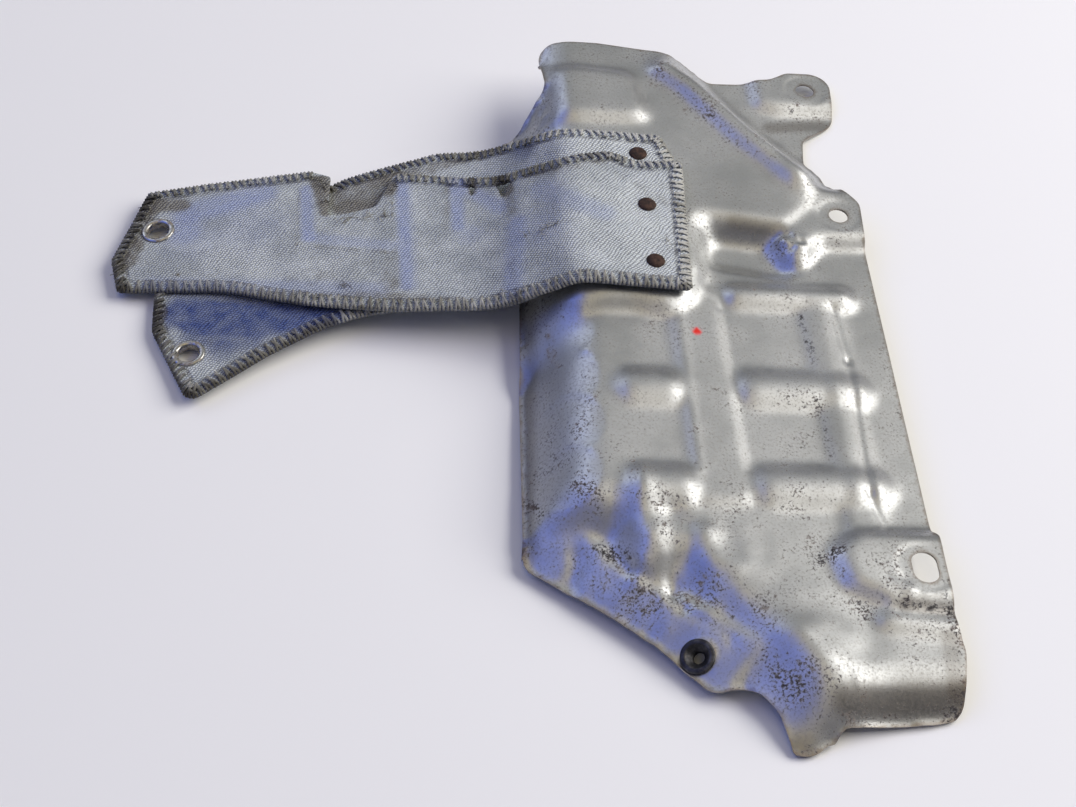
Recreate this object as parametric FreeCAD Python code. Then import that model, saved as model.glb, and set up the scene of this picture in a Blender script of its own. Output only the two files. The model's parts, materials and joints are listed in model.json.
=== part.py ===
import FreeCAD, Part
import math
import os

from FreeCAD import Vector

# Heat shield of an engine bay: one pressed sheet with two cloth straps riveted to it.
# It is drawn as it is pressed, with the ribbed face at z = 0, and is then laid on a table.

sheet = 0.8              # thickness of the pressed sheet
lean = 7.3               # tilt of the ribbed face on the table, degrees
face_height = 17.8       # height of the middle of the ribbed face above the table
side_slope = 52.0        # slope of the deep left wall, degrees
side_roll = 14.0         # bend radius along the top of the walls
plateau_top = 5.0        # level of the strap seat above the ribbed face
ground_top = -8.0        # level of the sheet around the far tab
tab_top = 4.0            # level of the middle and near tabs
deep_foot = -29.0        # level that the deep walls run down to, below the table
pocket_floor = -4.0      # level of the pocket's floor
bolt_hole = 7.5          # diameter of the two round fixing holes
slot_width = 9.0         # width of the slotted fixing hole
slot_length = 13.0       # length of the slotted fixing hole
far_hole = (66.0, 173.5)       # place of the hole in the far tab
middle_hole = (64.6, 92.2)     # place of the hole in the middle tab
slot_place = (67.0, -75.4)     # place of the slot in the near tab

strap_thick = 1.7        # thickness of the woven straps
strap_gap = 1.0          # how much later the upper strap turns down than the lower one
rivet_x = -10.5          # line of the rivets
rivet_first = 60.0       # nearest rivet on that line
rivet_pitch = 29.5       # spacing of the rivets
rivet_shank = 4.0        # diameter of a rivet's shank
rivet_head = 7.0         # diameter of a rivet's head
rivet_rise = 1.6         # height of a rivet's head
rivet_clear = 0.1        # clearance around a rivet's shank

eyelet_bore = 8.0        # inner diameter of an eyelet
eyelet_wall = 0.5        # wall thickness of an eyelet's barrel
eyelet_flange = 12.6     # outer diameter of an eyelet's flange
eyelet_lip = 11.0        # outer diameter of the lip rolled over below the cloth
eyelet_edge = 0.8        # thickness of the flange and of the lip
eyelet_clear = 0.1       # clearance around an eyelet's barrel

nut_thread = 5.0         # minor diameter of the M6 thread
nut_body = 9.0           # diameter of the nut's body
nut_flange = 12.0        # diameter of the nut's flange
nut_lip = 1.3            # thickness of the nut's flange
nut_deep = 4.4           # length of the nut's body below its flange
nut_swage = 0.8          # how far the body is swaged out behind the sheet
nut_sink = 1.6           # countersink of the thread
nut_clear = 0.1          # clearance around the nut's body
beyond = 300.0           # a length that reaches past every side of the part

# lower left flange: a plane given by its near corner, the direction of its rim and two slopes
flange_corner = Vector(-60.2, -62.0, -22.7)
flange_turn = -43.5      # direction of the rim in plan, degrees
flange_along = 0.1       # rise along the rim
flange_inward = 0.616    # rise from the rim inward
nut_along = 62.6         # place of the nut along the rim
nut_inward = 5.5         # place of the nut inward of the rim

# rows of pressed beads across the face: y of the row, half width, rise
bead_rows = [(51.0, 6.5, 3.0), (5.5, 9.5, 3.0), (-39.0, 10.0, 3.2)]
bead_left = (-25.0, -9.0)      # x range of the left bead of a row
bead_right = (18.0, 44.0)      # x range of the right bead of a row
bead_finger = (46.0, 68.0)     # x range of the finger at the right of a row
toe_radius = 14.0              # radius of the ridge that runs down to the toe

# corners of the sheet's trimmed edge in plan: x, y, corner radius
trim = [
    (73.2, -59.0, 3.0), (73.2, 84.0, 12.0), (74.0, 99.0, 7.0), (64.0, 113.5, 12.0), (59.0, 128.0, 14.0),
    (61.5, 146.5, 6.0), (75.5, 156.0, 9.0), (77.0, 183.5, 8.5), (59.5, 183.5, 6.0), (52.0, 179.0, 10.0),
    (25.0, 178.0, 12.0), (9.0, 180.5, 10.0), (-20.0, 185.0, 20.0), (-44.0, 185.0, 8.0), (-42.5, 160.0, 8.0),
    (-53.0, 146.0, 3.0), (-59.0, 149.0, 2.0), (-60.5, 142.0, 2.0), (-54.5, 138.0, 3.0), (-57.5, 65.0, 30.0),
    (-64.8, -58.0, 8.0), (-37.0, -82.0, 25.0), (-23.5, -95.0, 20.0), (-7.5, -114.0, 7.0), (5.5, -114.0, 10.0),
    (12.5, -124.5, 14.0), (18.0, -144.0, 4.5), (25.0, -142.0, 4.5), (32.5, -131.5, 5.0), (72.0, -129.8, 7.0),
    (75.8, -107.0, 14.0), (74.5, -97.0, 14.0), (74.5, -61.5, 2.0),
]
# corners of the two straps' cut edges in plan, as they lie
upper_outline = [
    (1.5, 46, 2), (5.5, 114, 2), (-12, 113, 6), (-22, 118, 8), (-40, 114, 10), (-62, 118, 30), (-101, 129, 3),
    (-109, 112, 4), (-127.5, 109, 3), (-125.5, 131.5, 2), (-133, 135.5, 6), (-172, 135, 40), (-195, 133.5, 2),
    (-208, 99, 3), (-205.5, 83, 2), (-168, 77, 60), (-136, 64.5, 60), (-102, 56.5, 80), (-58, 50.5, 60),
]
lower_outline = [
    (1, 51, 2), (3, 117, 3), (-1, 130, 3), (-36, 131, 30), (-58, 138.5, 20), (-84, 141.5, 20),
    (-123, 131.5, 40), (-191.5, 82, 3), (-192, 62, 12), (-178.5, 25.5, 4), (-150, 44.5, 60), (-117, 62, 60), (-60, 55, 80),
]
upper_eye = (-190.7, 112.5)    # place of the upper strap's eyelet
lower_eye = (-178.3, 48.8)     # place of the lower strap's eyelet


def heading(a, b):
    length = math.hypot(b[0] - a[0], b[1] - a[1])
    return (b[0] - a[0]) / length, (b[1] - a[1]) / length


# closed outline at one level: corners run anticlockwise, each side is moved outward by its shift
def ring(corners, shifts, z, skin=0.0):
    count = len(corners)
    arcs = []
    for i in range(count):
        x, y, radius = corners[i]
        ax, ay = heading(corners[i - 1], corners[i])
        bx, by = heading(corners[i], corners[(i + 1) % count])
        turn = math.atan2(ax * by - ay * bx, ax * bx + ay * by)
        s, t = shifts[i - 1], shifts[i]
        # the corner goes where its two moved sides meet
        x += (s * bx - t * ax) / -math.sin(turn)
        y += (s * by - t * ay) / -math.sin(turn)
        side = 1 if turn > 0 else -1
        radius = max(radius - side * skin, 0.3)
        cut = radius * math.tan(abs(turn) / 2)
        start = Vector(x - ax * cut, y - ay * cut, z)
        end = Vector(x + bx * cut, y + by * cut, z)
        center = start + Vector(-ay, ax, 0) * (radius * side)
        out = Vector(x, y, z) - center
        arcs.append((start, center + out * (radius / out.Length), end))
    return arcs


def outline(arcs):
    edges = []
    for arc, following in zip(arcs, arcs[1:] + arcs[:1]):
        edges.append(Part.Arc(*arc).toShape())
        edges.append(Part.makeLine(arc[2], following[0]))
    return Part.Wire(edges)


# solid between outlines at several levels: flat sides, and corners that are shifted arcs
def stacked(rings):
    faces = [Part.Face(outline(rings[0])), Part.Face(outline(rings[-1]))]
    for level, below in zip(rings, rings[1:]):
        for i in range(len(level)):
            faces.append(Part.Arc(*level[i - 1]).toShape().extrude(below[i - 1][0] - level[i - 1][0]))
            side = [level[i - 1][2], level[i][0], below[i][0], below[i - 1][2], level[i - 1][2]]
            faces.append(Part.Face(Part.makePolygon(side)))
    shell = Part.makeShell(faces)
    shell.sewShape()
    solid = Part.makeSolid(shell)
    if solid.Volume < 0:
        solid.reverse()
    return solid


# how far a side has moved outward at a depth below the top: first round the roll, then down the slope
def reach(depth, slope, roll):
    angle = math.radians(slope)
    if depth < roll * (1 - math.cos(angle)):
        return math.sqrt(roll * roll - (roll - depth) ** 2) - roll * math.tan(angle / 2)
    return depth / math.tan(angle)


# raised form with a flat top, a rolled edge and sloping sides; the skin moves its surface inward
def raised(corners, sides, top, foot, skin, strips):
    steepest, widest = max(sides)[0], max(roll for slope, roll in sides)
    depths = [widest * (1 - math.cos(math.radians(steepest) * k / strips)) for k in range(strips + 1)]
    depths.append(top - foot)
    rings = []
    for depth in depths:
        shifts = [reach(depth, slope, max(roll - skin, 0.2)) - skin * math.tan(math.radians(slope) / 2)
                  for slope, roll in sides]
        rings.append(ring(corners, shifts, top - skin - depth, skin))
    return stacked(rings)


# hollow pressed into the face: the floor's corners, and sides that open upward
def sunk(corners, slope, floor, top, skin):
    open_up = (top - floor) / math.tan(math.radians(slope))
    grow = skin * math.tan(math.radians(slope) / 2)
    low = ring(corners, [grow] * len(corners), floor - skin, -skin)
    high = ring(corners, [grow + open_up] * len(corners), top - skin, -skin)
    return stacked([low, high])


# rounded bead along a line, sunk so that only its crown shows
def bead(a, b, half, rise, base, skin):
    radius = (half * half + rise * rise) / (2 * rise)
    level = base + rise - radius
    return ridge(Vector(a[0], a[1], level), Vector(b[0], b[1], level), radius - skin, half - skin, rise * 1.4)


# round bar from a to b whose ends run on as cones that lose some radius
def ridge(a, b, radius, run, loss):
    axis = (b - a).normalize()
    across = axis.cross(Vector(0, 0, 1)).normalize()
    stations = [(a - axis * run, 0), (a - axis * run, radius - loss), (a, radius), (b, radius),
                (b + axis * run, radius - loss), (b + axis * run, 0), (a - axis * run, 0)]
    profile = Part.makePolygon([place + across * size for place, size in stations])
    return Part.Face(profile).revolve(a, axis, 360)


# the deep body: left wall, pleated lower left corner, long slanting wall and the near wall
def body(skin):
    corners = [
        (95, -118, 4), (95, 112, 4), (46, 110, 6), (-4, 165, 8), (-6, 200, 4), (-38.5, 200, 4),
        (-38.5, 47, 20), (-46, -40, 9), (-28, -47, 6), (-23.5, -62.5, 4), (-7.5, -63.5, 3), (27.5, -118, 12),
    ]
    steep = (side_slope, side_roll)
    soft = (45, 8)
    sides = [steep, soft, soft, soft, soft, steep, steep, (50, 9), (48, 9), (42, 9), (36, 12), (39, side_roll)]
    return raised(corners, sides, 0, deep_foot - 2 * skin, skin, 2)


def flange_point(along, inward, lower=0.0):
    turn = math.radians(flange_turn)
    place = flange_corner + Vector(math.cos(turn), math.sin(turn), flange_along) * along
    place += Vector(-math.sin(turn), math.cos(turn), flange_inward) * inward
    return place - Vector(0, 0, lower)


def flange_normal():
    a = flange_point(1, 0) - flange_point(0, 0)
    return a.cross(flange_point(0, 1) - flange_point(0, 0)).normalize()


def flange(skin):
    lower = skin / flange_normal().z
    extent = [(-12, -40), (78, -40), (78, 19), (-12, 19), (-12, -40)]
    top = Part.makePolygon([flange_point(s, w, lower) for s, w in extent])
    # its right end slopes down to the long slanting wall
    along = (flange_point(1, 0) - flange_point(0, 0)) * 45
    return Part.Face(top).extrude(Vector(along.x, along.y, -45))


# strap seat: runs down the left wall, round the pocket and along the ridge to the far edge
def plateau(skin):
    corners = [
        (-39.5, 46, 6), (-18, 46.5, 20), (-7, 43.5, 6), (2, 49, 6), (7, 62, 8), (8, 90, 7),
        (43, 85.5, 5), (55, 97, 5), (56, 111, 5), (34, 136, 20), (13, 166, 12), (1, 200, 5), (-39.5, 200, 5),
    ]
    edge = (48, 3)
    far = (38, 6)
    sides = [edge, edge, edge, (55, 3), (60, 3), (54, 4), edge, edge, far, far, far, far, (side_slope, side_roll)]
    return raised(corners, sides, plateau_top, deep_foot - 2 * skin, skin, 2)


def pocket(skin):
    corners = [(9, 74, 4), (16, 70, 8), (39, 65.5, 5), (50, 72, 4), (50, 97, 4), (6, 97, 4)]
    return sunk(corners, 42, pocket_floor, plateau_top + 6, skin)


# flat pads and bands: corners, slope, roll, strips of the roll, top, foot
def pads(skin):
    far_pad = [(-36, 141, 5), (-5.5, 141, 5), (-10, 165.5, 6), (-36, 168, 6)]
    center_band = [(-5.5, -46, 5), (12.5, -46, 5), (11.5, 54, 4), (-5.5, 54, 4)]
    side_band = [(45, -64, 3), (57, -64, 3), (56.5, 46, 4), (44, 46, 4)]
    far_tab = [(46, 166, 4), (53, 163.5, 4), (95, 165.5, 3), (95, 205, 3), (46, 205, 3)]
    middle_tab = [(95, 81, 3), (95, 106, 3), (60, 107, 5), (52, 95, 6), (40.5, 79, 4), (46, 68, 4), (55, 80, 4)]
    near_tab = [(41.5, -80, 6), (58, -88.5, 12), (95, -88, 3), (95, -62, 3), (46, -61, 7), (39.5, -68, 6)]
    shapes = [
        (far_pad, 40, 3, 1, plateau_top + 2.5, 0), (far_tab, 42, 3, 1, ground_top + 3, ground_top - 6),
        (center_band, 35, 1, 1, 1.3, -5), (side_band, 35, 1, 1, 1.3, -5),
        (middle_tab, 58, 2.5, 1, tab_top, -10), (near_tab, 45, 2.5, 1, tab_top, -6),
    ]
    return [raised(corners, [(slope, roll)] * len(corners), top, foot - skin, skin, strips)
            for corners, slope, roll, strips, top, foot in shapes]


def beads(skin):
    found = []
    for i, (y, half, rise) in enumerate(bead_rows):
        spans = [bead_right, (bead_finger[0], bead_finger[1] - half)]
        if i > 0:
            spans.append(bead_left)
        for start, end in spans:
            found.append(bead((start, y), (end, y), half, rise, 0, skin))
    crest = [(3, 170), (14, 159.5), (32, 132), (51, 109)]
    for a, b in zip(crest, crest[1:]):
        found.append(bead(a, b, 5.3, 2, plateau_top, skin))
    found.append(bead((50, -95), (90, -99), 5, 2, 0, skin))
    # rounded ridge down to the toe
    found.append(ridge(Vector(16, -100, -17), Vector(22, -131.5, -26), toe_radius - skin, 12 - skin, 5))
    return found


# the whole pressed form; with a skin it is the form of the sheet's underside
def form(skin):
    ground = Part.makeBox(110, 110, 40, Vector(0, 104, ground_top - skin - 40))
    solid = body(skin).cut(pocket(skin))
    return solid.fuse([flange(skin), plateau(skin), ground] + pads(skin) + beads(skin))


# everything above the table plane, in the frame of the pressing
def above_table():
    box = Part.makeBox(2 * beyond, 2 * beyond, beyond, Vector(-beyond, -beyond, 0))
    box.Placement = on_table().inverse()
    return box


def on_table():
    return FreeCAD.Placement(Vector(0, 0, face_height), FreeCAD.Rotation(Vector(0, 1, 0), lean))


def height(x, z):
    return on_table().multVec(Vector(x, 0, z)).z


def prism(corners):
    return Part.Face(outline(ring(corners, [0] * len(corners), -beyond))).extrude(Vector(0, 0, 2 * beyond))


def rivet_places():
    return [(rivet_x, rivet_first + rivet_pitch * i) for i in range(3)]


def slot():
    run = (slot_length - slot_width) / 2
    ends = [Part.makeCylinder(slot_width / 2, 40, Vector(slot_place[0], slot_place[1] + shift, -20))
            for shift in (-run, run)]
    start = Vector(slot_place[0] - slot_width / 2, slot_place[1] - run, -20)
    middle = Part.makeBox(slot_width, run * 2, 40, start)
    return middle.fuse(ends).removeSplitter()


def panel():
    solid = form(0).common(prism(trim)).common(above_table()).cut(form(sheet))
    pins = [Part.makeCylinder(bolt_hole / 2, 40, Vector(x, y, -20)) for x, y in (far_hole, middle_hole)]
    pins.append(slot())
    for x, y in rivet_places():
        pins.append(Part.makeCylinder(rivet_shank / 2 + rivet_clear, 20, Vector(x, y, -5)))
    axis = flange_normal()
    foot = flange_point(nut_along, nut_inward) - axis * 10
    pins.append(Part.makeCylinder(nut_body / 2 + nut_clear, 20, foot, axis))
    solid = solid.cut(pins)
    return max(solid.Solids, key=lambda piece: piece.Volume)


# strap as a bent ribbon: flat on its seat, over the shoulder, down, and out to its free end
def ribbon(flat_to, level, bend, turn, mid, sweep, settle):
    edges_low, edges_high = [], []
    place, angle = Vector(8, 0, level), 180.0

    def normal(a):
        return Vector(math.sin(math.radians(a)), 0, -math.cos(math.radians(a)))

    def straight(length):
        nonlocal place
        step = Vector(math.cos(math.radians(angle)), 0, math.sin(math.radians(angle))) * length
        lift = normal(angle) * strap_thick
        edges_low.append(Part.makeLine(place, place + step))
        edges_high.append(Part.makeLine(place + lift, place + step + lift))
        place = place + step

    def arc(radius, by):
        nonlocal place, angle
        side = 1 if by > 0 else -1
        center = place - normal(angle) * (radius * side)
        for edges, size in ((edges_low, radius), (edges_high, radius + side * strap_thick)):
            points = [center + normal(angle + by * k) * (size * side) for k in (0, 0.5, 1)]
            edges.append(Part.Arc(*points).toShape())
        place = center + normal(angle + by) * (radius * side)
        angle += by

    straight(8 - flat_to)
    arc(bend, turn)
    drop = sweep * (math.cos(math.radians(settle)) - math.cos(math.radians(turn - lean)))
    straight((height(place.x, place.z) - mid - drop) / math.sin(math.radians(turn - lean)))
    arc(sweep, lean + settle - turn)
    straight(140)
    ends = [Part.makeLine(edges_low[0].Vertexes[0].Point, edges_high[0].Vertexes[0].Point),
            Part.makeLine(edges_low[-1].Vertexes[-1].Point, edges_high[-1].Vertexes[-1].Point)]
    section = Part.Wire(Part.__sortEdges__(edges_low + edges_high + ends))
    cloth = Part.Face(section).extrude(Vector(0, 200, 0))
    tail = edges_low[-1].Vertexes
    return cloth, tail[0].Point, tail[-1].Point, angle


# where the eyelet stands on the strap's flat free end: a placement whose z is square to the cloth
def eyelet_seat(tail, x, y):
    cloth, a, b, angle = tail
    share = (x - a.x) / (b.x - a.x)
    place = a + (b - a) * share
    return FreeCAD.Placement(Vector(x, y, place.z), FreeCAD.Rotation(Vector(0, 1, 0), 180 - angle))


def upper_tail():
    seat = plateau_top + strap_thick
    return ribbon(-33 - strap_gap, seat, side_roll + 0.4 + strap_thick, 34, 13.4, 60, 5.0)


def lower_tail():
    return ribbon(-33, plateau_top, side_roll + 0.4, 40, 9.4, 45, 3.8)


def strap(tail, cut, eyelet, rivets):
    cloth = tail[0].common(prism(cut))
    pins = [Part.makeCylinder(rivet_shank / 2 + rivet_clear, 40, Vector(x, y, -10)) for x, y in rivets]
    hole = Part.makeCylinder(eyelet_bore / 2 + eyelet_wall + eyelet_clear, 20, Vector(0, 0, -10))
    hole.Placement = eyelet_seat(tail, *eyelet)
    return cloth.cut(pins + [hole])


# flange on top of the cloth, barrel through it and the lip rolled over below
def eyelet(tail, place):
    bore, rim, lip = eyelet_bore / 2, eyelet_flange / 2, eyelet_lip / 2
    barrel, top = bore + eyelet_wall, strap_thick + eyelet_edge
    stations = [(bore, -eyelet_edge), (lip, -eyelet_edge), (lip, 0), (barrel, 0), (barrel, strap_thick),
                (rim, strap_thick), (rim - eyelet_edge, top), (bore, top), (bore, -eyelet_edge)]
    profile = Part.makePolygon([Vector(r, 0, z) for r, z in stations])
    solid = Part.Face(profile).revolve(Vector(0, 0, 0), Vector(0, 0, 1), 360)
    solid.Placement = eyelet_seat(tail, *place)
    return solid


# domed head on the cloth, shank, and the tail formed against the sheet's underside
def rivet(x, y, layers):
    shank, head = rivet_shank / 2, rivet_head / 2
    top = plateau_top + layers * strap_thick
    under = plateau_top - sheet
    tail = under - rivet_rise * 0.7
    stations = [(0, top + rivet_rise), (head * 0.55, top + rivet_rise), (head, top), (shank, top),
                (shank, under), (head * 0.85, under), (head * 0.85, tail), (0, tail), (0, top + rivet_rise)]
    profile = Part.makePolygon([Vector(r, 0, z) for r, z in stations])
    solid = Part.Face(profile).revolve(Vector(0, 0, 0), Vector(0, 0, 1), 360)
    solid.translate(Vector(x, y, 0))
    return solid


# flange on the outside of the sheet, body through it, swaged out behind
def clinch_nut():
    body_r, lip_r, bore = nut_body / 2, nut_flange / 2, nut_thread / 2
    stations = [(bore, -nut_deep), (body_r, -nut_deep), (body_r + nut_swage, -sheet), (body_r, -sheet),
                (body_r, 0), (lip_r, 0), (lip_r, nut_lip), (bore + nut_sink, nut_lip),
                (bore, nut_lip - nut_sink), (bore, -nut_deep)]
    profile = Part.makePolygon([Vector(r, 0, z) for r, z in stations])
    solid = Part.Face(profile).revolve(Vector(0, 0, 0), Vector(0, 0, 1), 360)
    turn = FreeCAD.Rotation(Vector(0, 0, 1), flange_normal())
    solid.Placement = FreeCAD.Placement(flange_point(nut_along, nut_inward), turn)
    return solid


upper, lower = upper_tail(), lower_tail()
spots = rivet_places()
nodes = {
    "shield_panel": panel(),
    "upper_strap": strap(upper, upper_outline, upper_eye, spots[:2]),
    "lower_strap": strap(lower, lower_outline, lower_eye, spots),
    "upper_eyelet": eyelet(upper, upper_eye),
    "lower_eyelet": eyelet(lower, lower_eye),
    "clinch_nut": clinch_nut(),
}
for i, (x, y) in enumerate(spots):
    nodes["strap_rivet_%d" % (i + 1)] = rivet(x, y, 2 if i < 2 else 1)

# laid on the table, with the middle of the footprint at the origin
for shape in nodes.values():
    shape.Placement = on_table().multiply(shape.Placement)
box = Part.makeCompound(list(nodes.values())).optimalBoundingBox()
os.makedirs("parts", exist_ok=True)
for name, shape in nodes.items():
    shape.translate(Vector(-box.Center.x, -box.Center.y, -box.ZMin))
    shape.exportStep("parts/%s.step" % name)
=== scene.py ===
import bpy, bmesh, json, math, random
from mathutils import Matrix, Vector, noise
from mathutils.bvhtree import BVHTree
from mathutils.geometry import delaunay_2d_cdt
from mathutils.kdtree import KDTree


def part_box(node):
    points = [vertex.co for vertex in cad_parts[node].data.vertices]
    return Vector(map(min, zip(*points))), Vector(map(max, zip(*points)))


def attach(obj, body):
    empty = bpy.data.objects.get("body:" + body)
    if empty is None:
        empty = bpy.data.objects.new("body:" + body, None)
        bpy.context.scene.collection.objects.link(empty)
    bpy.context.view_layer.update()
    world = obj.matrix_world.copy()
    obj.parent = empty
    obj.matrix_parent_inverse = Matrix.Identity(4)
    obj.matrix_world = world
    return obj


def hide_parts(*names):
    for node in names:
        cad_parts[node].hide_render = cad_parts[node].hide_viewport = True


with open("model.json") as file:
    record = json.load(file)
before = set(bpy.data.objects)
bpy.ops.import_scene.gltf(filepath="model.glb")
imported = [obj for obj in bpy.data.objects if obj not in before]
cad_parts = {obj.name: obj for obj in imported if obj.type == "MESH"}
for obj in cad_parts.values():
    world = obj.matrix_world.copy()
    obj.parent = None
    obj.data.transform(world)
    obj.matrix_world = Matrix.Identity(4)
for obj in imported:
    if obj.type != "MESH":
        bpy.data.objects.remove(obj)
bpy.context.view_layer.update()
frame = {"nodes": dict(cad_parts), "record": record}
dice = random.Random(11)
mm = 0.001
down = Vector((0, 0, -1))
overhead = 0.2  # a height above every piece
mounts = {m["name"]: (Vector(m["pos_m"]), Vector(m["axis"])) for m in frame["record"]["mounts"]}
nutRise = 2.35  # mm from the captive nut's mount, up its axis, to the seat of its flange


# camera at the photograph's angle; the aim is measured from the middle of the first rivet
shot = {"azimuth": -4.5, "elevation": 49.0, "distance": 0.868, "focal": 2400.0, "wide": 1076.0, "high": 807.0,
        "sensor": 36.0, "clip": 0.05, "aimFromRivet": (-46.38, -41.73)}


def middleOf(node):
    low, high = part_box(node)
    return (low + high) / 2


def linked(name, data):
    thing = bpy.data.objects.new(name, data)
    bpy.context.scene.collection.objects.link(thing)
    return thing


around, above = math.radians(shot["azimuth"]), math.radians(shot["elevation"])
backward = Vector((math.sin(around) * math.cos(above), -math.cos(around) * math.cos(above), math.sin(above)))
rightward = Vector((0, 0, 1)).cross(backward).normalized()
upward = backward.cross(rightward)
aim = middleOf("strap_rivet_1") + Vector(shot["aimFromRivet"]).to_3d() * mm
aim.z = 0
eye = aim + backward * shot["distance"]
lens = bpy.data.cameras.new("photoCamera")
lens.sensor_width = shot["sensor"]
lens.lens = shot["sensor"] * shot["focal"] / shot["wide"]
lens.clip_start = shot["clip"]
camera = linked("photoCamera", lens)
camera.matrix_world = Matrix.Translation(eye) @ Matrix((rightward, upward, backward)).transposed().to_4x4()
bpy.context.scene.camera = camera
print("camera set")


def pixelRay(px, py):
    way = rightward * (px - shot["wide"] / 2) + upward * (shot["high"] / 2 - py) - backward * shot["focal"]
    return way.normalized()


def toPixel(place):
    way = place - eye
    depth = -way.dot(backward)
    return (shot["wide"] / 2 + shot["focal"] * way.dot(rightward) / depth,
            shot["high"] / 2 - shot["focal"] * way.dot(upward) / depth)


# the place on a piece that a pixel shows, or None
def seenAt(caster, px, py):
    return caster.ray_cast(eye, pixelRay(px, py))[0]


# gives the height of a piece's top at a place, or None beside the piece
def topOf(caster):
    def drop(x, y):
        hit = caster.ray_cast(Vector((x, y, overhead)), down)[0]
        return hit.z if hit else None
    return drop


def treeOf(places):
    tree = KDTree(len(places))
    for k, place in enumerate(places):
        tree.insert(place, k)
    tree.balance()
    return tree


def smoothStep(low, high, value):
    t = min(max((value - low) / (high - low), 0.0), 1.0)
    return t * t * (3 - 2 * t)


def ripple(place, size, seed=0.0):
    return noise.noise(Vector((place[0], place[1], seed)) / size)


def lineDistance(place, a, b):
    line = (b - a).xy
    share = min(max((place - a).xy.dot(line) / line.length_squared, 0), 1)
    return (place.xy - a.xy - line * share).length


def mergedCopy(node):
    bm = bmesh.new()
    bm.from_mesh(frame["nodes"][node].data)
    bmesh.ops.remove_doubles(bm, verts=bm.verts, dist=0.01 * mm)
    return bm


def meshOf(bm, name):
    mesh = bpy.data.meshes.new(name)
    bm.to_mesh(mesh)
    bm.free()
    return mesh


def rimLoops(faces):
    kept = set(faces)
    onward = {}
    for face in faces:
        for corner in face.loops:
            if not any(f in kept for f in corner.edge.link_faces if f is not face):
                onward[corner.vert] = corner.link_loop_next.vert
    loops = []
    while onward:
        first, vert = next(iter(onward.items()))
        loop = [first.co.copy()]
        del onward[first]
        while vert in onward:
            loop.append(vert.co.copy())
            vert = onward.pop(vert)
        loops.append(loop)
    return loops


def evenly(loop, gap):
    found, left = [], 0.0
    for a, b in zip(loop, loop[1:] + loop[:1]):
        length = (b - a).length
        while left < length:
            found.append(a.lerp(b, left / length))
            left += gap
        left -= length
    return found


def loopLength(loop):
    return sum((b - a).length for a, b in zip(loop, loop[1:] + loop[:1]))


# 1 for a circle, less for other loops
def roundness(loop):
    area = sum(a.x * b.y - b.x * a.y for a, b in zip(loop, loop[1:] + loop[:1])) / 2
    return 2 * math.tau * abs(area) / loopLength(loop) ** 2


# a rim that runs in under a steep wall and back is led straight on
def straightOn(loop, reach, longest, detour=4):
    kept, k = [], 0
    while k < len(loop):
        kept.append(loop[k])
        walked, onward = 0.0, k + 1
        for j in range(k + 1, len(loop)):
            walked += (loop[j] - loop[j - 1]).length
            if walked > longest:
                break
            if walked > detour * reach and (loop[j] - loop[k]).xy.length < reach:
                onward = j + 1
        k = onward
    return kept


def within(place, rim):
    crossings = 0
    for a, b in zip(rim, rim[1:] + rim[:1]):
        if (a.y > place.y) != (b.y > place.y) and place.x < a.x + (b.x - a.x) * (place.y - a.y) / (b.y - a.y):
            crossings += 1
    return crossings % 2 == 1


# rows of even triangles: clear of the rim and rise of a row, as shares of the gap, and the welding distance
triangleGrid = {"rimClear": 0.62, "rowRise": 0.866, "weld": 1e-5}


# even sheet of small triangles between an outer rim and its holes, laid out in mm
def evenSheet(outer, holes, gap, drop):
    rims = [evenly(loop, gap) for loop in [outer] + holes]
    cuts = []
    for rim in rims[1:]:
        heart = sum((p.xy for p in rim), Vector((0, 0))) / len(rim)
        cuts.append((heart, max((p.xy - heart).length for p in rim), rim))
    flat, edges, heights = [], [], []
    for rim in rims:
        start = len(flat)
        for k, place in enumerate(rim):
            flat.append(place.xy / mm)
            heights.append(place.z)
            edges.append((start + k, start + (k + 1) % len(rim)))
    tree = treeOf([place.to_3d() for place in flat])
    cell = gap / mm
    xs, ys = [p.x for p in flat], [p.y for p in flat]
    left, right, y, top = min(xs), max(xs), min(ys), max(ys)
    row = 0
    while y < top:
        x = left + (cell / 2 if row % 2 else 0)
        while x < right:
            inside = tree.find((x, y, 0))[2] > triangleGrid["rimClear"] * cell
            z = drop(x * mm, y * mm) if inside else None
            if z is not None:
                flat.append(Vector((x, y)))
                heights.append(z)
            x += cell
        row, y = row + 1, y + cell * triangleGrid["rowRise"]
    places, _, triangles, origins = delaunay_2d_cdt(flat, edges, [], 2, triangleGrid["weld"])[:4]
    bm = bmesh.new()
    verts = []
    for p, origin in zip(places, origins):  # a place where two rims cross has no origin
        z = heights[origin[0]] if origin else heights[tree.find(p.to_3d())[1]]
        verts.append(bm.verts.new((p.x * mm, p.y * mm, z)))
    for corners in triangles:
        heart = sum((verts[k].co.xy for k in corners), Vector((0, 0))) / 3
        if not any((heart - middle).length < size and within(heart, rim) for middle, size, rim in cuts):
            bm.faces.new([verts[k] for k in corners])
    bmesh.ops.delete(bm, geom=[v for v in bm.verts if not v.link_faces], context="VERTS")
    bm.normal_update()
    if sum(f.normal.z for f in bm.faces) < 0:
        bmesh.ops.reverse_faces(bm, faces=bm.faces)
    return bm


def soften(bm, verts, rounds):
    for _ in range(rounds):
        bmesh.ops.smooth_vert(bm, verts=verts, factor=0.5,
                              use_axis_x=False, use_axis_y=False, use_axis_z=True)


# how far each vertex lies from the nearest rim
def rimDistance(bm):
    tree = treeOf([v.co for v in bm.verts if v.is_boundary])
    return [tree.find(v.co)[2] for v in bm.verts]


# soft marks given in photograph pixels: a place or two ends of a line, then radius in mm and strength
marking = {"pixelStep": 3, "core": 0.25}


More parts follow.
